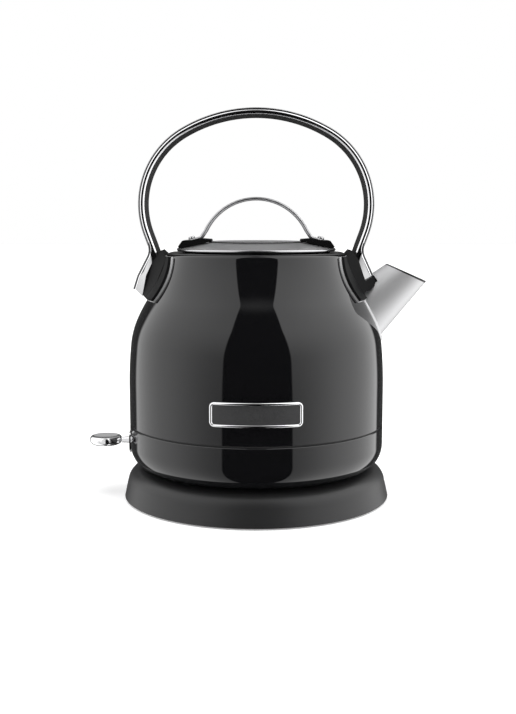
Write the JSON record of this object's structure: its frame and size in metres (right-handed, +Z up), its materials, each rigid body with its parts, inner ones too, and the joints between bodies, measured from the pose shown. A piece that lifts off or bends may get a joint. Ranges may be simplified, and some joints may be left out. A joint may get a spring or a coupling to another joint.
{
  "type": "electric kettle",
  "caption": "Dome-topped electric kettle with a tall bail handle, short brushed spout, pull-off lid and lever switch, standing on its round cordless power base.",
  "frame": {"origin": "centre of the power base's feet, on the surface it stands on, with the kettle seated", "axes": "+X towards the spout, -Y towards the front badge, +Z up"},
  "size_m": [0.2172, 0.1715, 0.2467],
  "materials": {
    "base_plastic": "fine satin moulded black",
    "plain_black": "plain black moulding",
    "rubber": "soft black",
    "silicone": "translucent grey silicone",
    "contact_brass": "plated contact",
    "steel": "plain steel",
    "enamel": "high-gloss black enamel on steel",
    "brushed_steel": "fine brushed",
    "chrome": "mirror polished",
    "badge_black": "finely grained dark plate, blank",
    "grip": "satin dark grip",
    "bracket_black": "satin black moulding"
  },
  "bodies": {
    "power_base": {"base_cover": "base_plastic", "base_plate": "plain_black", "base_feet": "rubber", "base_screws": "steel", "connector_post": "base_plastic", "connector_core": "plain_black", "contact_ring": "contact_brass", "centre_pin": "contact_brass", "cord_grommet": "rubber", "terminal_block": "plain_black"},
    "kettle_socket": {"socket_ring": "plain_black"},
    "kettle": {"bottom_cover": "plain_black", "bottom_screws": "steel", "standoffs": "steel", "lower_skirt": "enamel", "switch_bezel": "chrome", "seam_gasket": "rubber", "heating_plate": "steel", "plate_seal": "silicone", "heating_element": "steel", "thermostat_control": "plain_black", "steam_tube": "steel", "switch_housing": "plain_black", "switch_pivot_pin": "steel", "body_shell": "enamel", "neck_collar": "plain_black", "spout": "brushed_steel", "filter_frame": "steel", "filter_mesh": "steel", "badge_frame": "chrome", "badge_plate": "badge_black", "handle_band": "chrome", "handle_spine": "plain_black", "handle_lining": "chrome", "handle_grip": "grip", "bracket_left": "bracket_black", "bracket_right": "bracket_black", "saddle_plates": "brushed_steel", "bracket_screws": "steel"},
    "lid": {"lid_cover": "brushed_steel", "lid_rim": "chrome", "lid_pan": "plain_black", "lid_seal": "silicone", "lid_loop": "brushed_steel", "lid_pads": "bracket_black", "lid_screws": "chrome", "lid_nuts": "steel"},
    "switch_lever": {"lever_paddle": "chrome", "lever_arm": "chrome"}
  },
  "joints": [
    {"name": "kettle_lift", "type": "slide", "parent": "power_base", "child": "kettle_socket", "axis": [0, 0, 1], "range_m": [0, 0.052]},
    {"name": "kettle_swivel", "type": "hinge", "parent": "kettle_socket", "child": "kettle", "pos_m": [0, 0, 0.037], "axis": [0, 0, 1], "continuous": true},
    {"name": "lid_lift", "type": "slide", "parent": "kettle", "child": "lid", "axis": [0, 0, 1], "range_m": [0, 0.045]},
    {"name": "switch_tilt", "type": "hinge", "parent": "kettle", "child": "switch_lever", "pos_m": [-0.072, 0, 0.0354], "axis": [0, -1, 0], "range_deg": [0, 12]}
  ]
}
